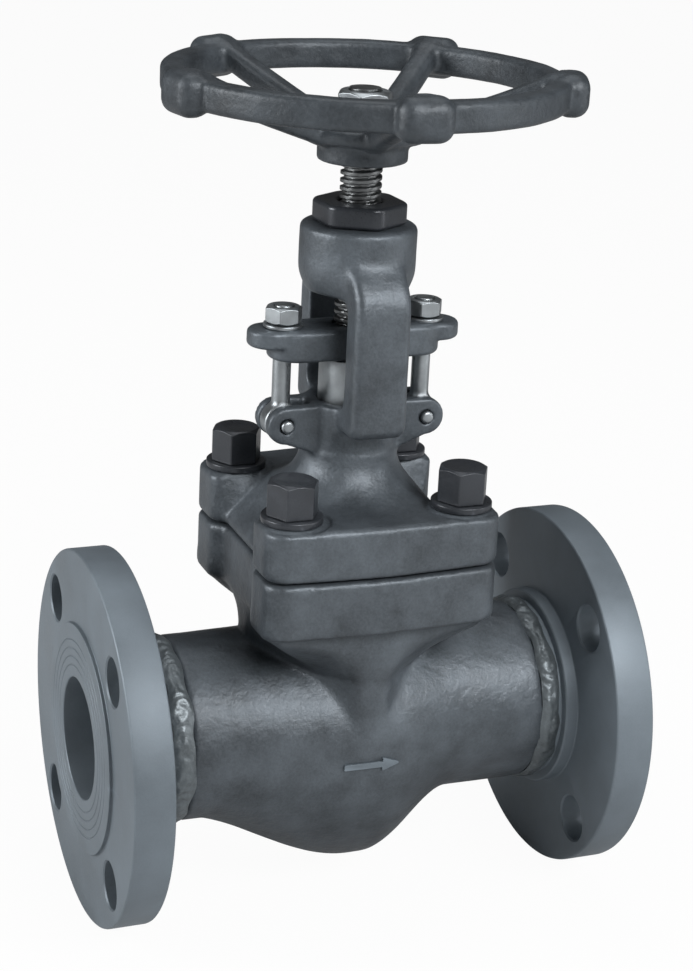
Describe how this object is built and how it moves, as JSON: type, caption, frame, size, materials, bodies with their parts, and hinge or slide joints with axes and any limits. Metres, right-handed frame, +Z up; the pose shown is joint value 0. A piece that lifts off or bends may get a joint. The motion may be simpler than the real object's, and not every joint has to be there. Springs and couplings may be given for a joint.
{
  "type": "flanged globe valve",
  "caption": "Forged globe valve with raised-face flanges, bolted bonnet, outside screw and yoke, gland with swing eyebolts, and a lobed spoked handwheel.",
  "frame": {"origin": "where the flow axis crosses the stem axis", "axes": "+X along the flow from inlet to outlet, +Z up the stem to the handwheel, -Y towards the front"},
  "size_m": [0.217, 0.1598, 0.3397],
  "materials": {
    "forged": "phosphated forged steel, satin, slightly grainy",
    "machined": "machined and phosphated steel, smoother than the forgings",
    "weld": "weld metal under the same thin coat",
    "blackened": "blackened steel fasteners",
    "zinc": "bright zinc-plated steel",
    "stainless": "turned 13 percent chromium steel",
    "graphite": "pressed graphite",
    "cast": "cast iron under a thin grey coat"
  },
  "bodies": {
    "valve": {"valve_body": "forged", "inlet_flange": "machined", "outlet_flange": "machined", "inlet_weld": "weld", "outlet_weld": "weld", "seat_ring": "stainless", "body_gasket": "graphite", "bonnet": "forged", "bonnet_bolt_front_left": "blackened", "bonnet_bolt_front_right": "blackened", "bonnet_bolt_back_left": "blackened", "bonnet_bolt_back_right": "blackened", "bonnet_washer_front_left": "blackened", "bonnet_washer_front_right": "blackened", "bonnet_washer_back_left": "blackened", "bonnet_washer_back_right": "blackened", "packing_ring_1": "graphite", "packing_ring_2": "graphite", "packing_ring_3": "graphite", "packing_ring_4": "graphite", "packing_ring_5": "graphite", "eyebolt_left": "zinc", "eyebolt_right": "zinc", "eyebolt_pin_left": "zinc", "eyebolt_pin_right": "zinc", "yoke_nut": "blackened"},
    "plug": {"disc": "stainless", "disc_nut": "stainless"},
    "spindle": {"stem": "stainless", "handwheel": "cast", "handwheel_washer": "zinc", "handwheel_nut": "zinc"},
    "gland": {"gland_follower": "zinc", "gland_flange": "forged", "gland_washer_left": "zinc", "gland_washer_right": "zinc"},
    "nut_left": {"gland_nut_left": "zinc"},
    "nut_right": {"gland_nut_right": "zinc"}
  },
  "joints": [
    {"name": "disc_lift", "type": "slide", "parent": "valve", "child": "plug", "axis": [0, 0, 1], "range_m": [-0.015, 0]},
    {"name": "stem_turn", "type": "hinge", "parent": "plug", "child": "spindle", "pos_m": [0, 0, 0.022], "axis": [0, 0, 1], "range_deg": [-1800, 0]},
    {"name": "gland_takeup", "type": "slide", "parent": "valve", "child": "gland", "axis": [0, 0, 1], "range_m": [-0.00125, 0], "deforming": ["packing_ring_5"]},
    {"name": "gland_nut_left_turn", "type": "hinge", "parent": "gland", "child": "nut_left", "pos_m": [-0.0291, 0, 0.165], "axis": [0, 0, 1], "range_deg": [-360, 0]},
    {"name": "gland_nut_right_turn", "type": "hinge", "parent": "gland", "child": "nut_right", "pos_m": [0.0291, 0, 0.165], "axis": [0, 0, 1], "range_deg": [-360, 0]}
  ],
  "couplings": [
    {"joint": "disc_lift", "follows": "stem_turn", "m_per_rad": 0.00047746},
    {"joint": "gland_nut_left_turn", "follows": "gland_takeup", "rad_per_m": 5026.5},
    {"joint": "gland_nut_right_turn", "follows": "gland_takeup", "rad_per_m": 5026.5}
  ]
}
